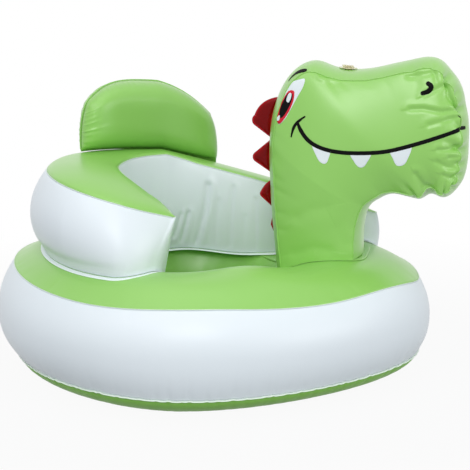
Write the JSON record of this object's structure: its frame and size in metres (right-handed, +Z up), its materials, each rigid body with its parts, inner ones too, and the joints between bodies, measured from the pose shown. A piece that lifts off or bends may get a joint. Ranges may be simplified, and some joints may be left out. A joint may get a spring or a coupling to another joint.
{
  "type": "inflatable baby seat",
  "caption": "Inflatable baby seat: a soft base ring with a seat well, a curved backrest ring with a headrest, and an animal head and neck in front.",
  "frame": {"origin": "on the floor, under the middle of the base ring's flat underside", "axes": "+X towards the animal's muzzle, +Y to the sitter's left, +Z up"},
  "size_m": [0.6963, 0.5574, 0.4624],
  "materials": {
    "green_film": "satin PVC film, soft sheen",
    "white_film": "satin PVC film, soft sheen",
    "red_film": "glossy PVC film",
    "clear_valve": "clear soft PVC, slightly yellow"
  },
  "bodies": {
    "seat": {"arm_bottom_sheet": "green_film", "arm_side_band": "white_film", "arm_top_sheet": "green_film", "arm_valve_flange": "clear_valve", "base_bottom_sheet": "green_film", "base_side_band": "white_film", "base_top_sheet": "green_film", "base_valve_flange": "clear_valve", "crest_fin_1": "red_film", "crest_fin_2": "red_film", "crest_fin_3": "red_film", "crest_fin_4": "red_film", "floor_web_left": "green_film", "floor_web_middle": "green_film", "floor_web_right": "green_film", "head_gusset": "green_film", "head_left_sheet": "green_film", "head_right_sheet": "green_film", "head_valve_flange": "clear_valve", "headrest_back_sheet": "green_film", "headrest_front_sheet": "green_film", "seat_floor_sheet": "green_film", "well_wall": "green_film"},
    "base_valve_stem": {"base_valve_stem": "clear_valve"},
    "base_valve_plug": {"base_valve_plug": "clear_valve"},
    "base_valve_flap": {"base_valve_flap": "clear_valve"},
    "arm_valve_stem": {"arm_valve_stem": "clear_valve"},
    "arm_valve_plug": {"arm_valve_plug": "clear_valve"},
    "arm_valve_flap": {"arm_valve_flap": "clear_valve"},
    "head_valve_stem": {"head_valve_stem": "clear_valve"},
    "head_valve_plug": {"head_valve_plug": "clear_valve"},
    "head_valve_flap": {"head_valve_flap": "clear_valve"}
  },
  "joints": [
    {"name": "base_valve_slide", "type": "slide", "parent": "seat", "child": "base_valve_stem", "axis": [-1, 0, 0], "range_m": [0, 0.012]},
    {"name": "base_valve_plug_hinge", "type": "hinge", "parent": "base_valve_stem", "child": "base_valve_plug", "pos_m": [-0.3336, 0, 0.093], "axis": [0, 1, 0], "range_deg": [0, 140]},
    {"name": "base_valve_flap_hinge", "type": "hinge", "parent": "base_valve_stem", "child": "base_valve_flap", "pos_m": [-0.3171, 0, 0.0904], "axis": [0, -1, 0], "range_deg": [0, 45], "stiffness_Nm_per_rad": 0.0002, "springref_deg": -17.19},
    {"name": "arm_valve_slide", "type": "slide", "parent": "seat", "child": "arm_valve_stem", "axis": [-1, 0, 0], "range_m": [0, 0.012]},
    {"name": "arm_valve_plug_hinge", "type": "hinge", "parent": "arm_valve_stem", "child": "arm_valve_plug", "pos_m": [-0.2826, 0, 0.24874], "axis": [0, 1, 0], "range_deg": [0, 140]},
    {"name": "arm_valve_flap_hinge", "type": "hinge", "parent": "arm_valve_stem", "child": "arm_valve_flap", "pos_m": [-0.2661, 0, 0.24614], "axis": [0, -1, 0], "range_deg": [0, 45], "stiffness_Nm_per_rad": 0.0002, "springref_deg": -17.19},
    {"name": "head_valve_slide", "type": "slide", "parent": "seat", "child": "head_valve_stem", "axis": [0.0691, 0, 0.9976], "range_m": [0, 0.012]},
    {"name": "head_valve_plug_hinge", "type": "hinge", "parent": "head_valve_stem", "child": "head_valve_plug", "pos_m": [0.19754, 0, 0.44744], "axis": [0, 1, 0], "range_deg": [0, 140]},
    {"name": "head_valve_flap_hinge", "type": "hinge", "parent": "head_valve_stem", "child": "head_valve_flap", "pos_m": [0.19381, 0, 0.43116], "axis": [0, -1, 0], "range_deg": [0, 45], "stiffness_Nm_per_rad": 0.0002, "springref_deg": -17.19}
  ]
}
